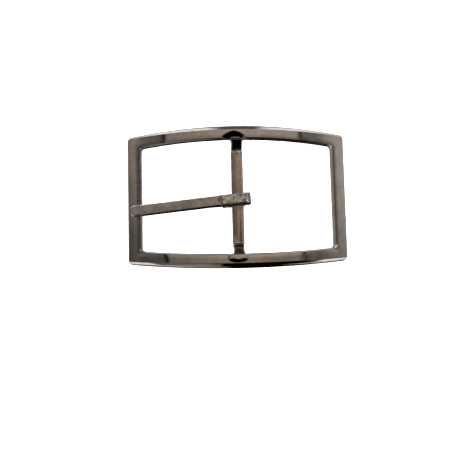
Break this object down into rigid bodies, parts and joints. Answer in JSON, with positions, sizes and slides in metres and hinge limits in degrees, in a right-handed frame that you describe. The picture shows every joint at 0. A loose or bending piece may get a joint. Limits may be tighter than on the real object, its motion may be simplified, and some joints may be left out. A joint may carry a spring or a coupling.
{
  "type": "belt buckle",
  "caption": "Bowed rectangular centre-bar belt buckle in polished dark nickel, with a curled prong that swings on the dropped bar.",
  "frame": {"origin": "on the surface that the buckle lies on, below the centre of the frame", "axes": "+X along the strap, away from the end of the frame that the prong's tip rests on; +Y across the strap, along the centre bar; +Z out through the front face"},
  "size_m": [0.0776, 0.0506, 0.0094],
  "materials": {
    "frame_plating": "polished",
    "bar_plating": "polished",
    "prong_plating": "polished"
  },
  "bodies": {
    "buckle": {"buckle_frame": "frame_plating", "centre_bar": "bar_plating"},
    "prong": {"prong": "prong_plating"}
  },
  "joints": [
    {"name": "prong_hinge", "type": "hinge", "parent": "buckle", "child": "prong", "pos_m": [0, -0.0007, 0.0045], "axis": [0, 1, 0], "range_deg": [0, 178]}
  ]
}
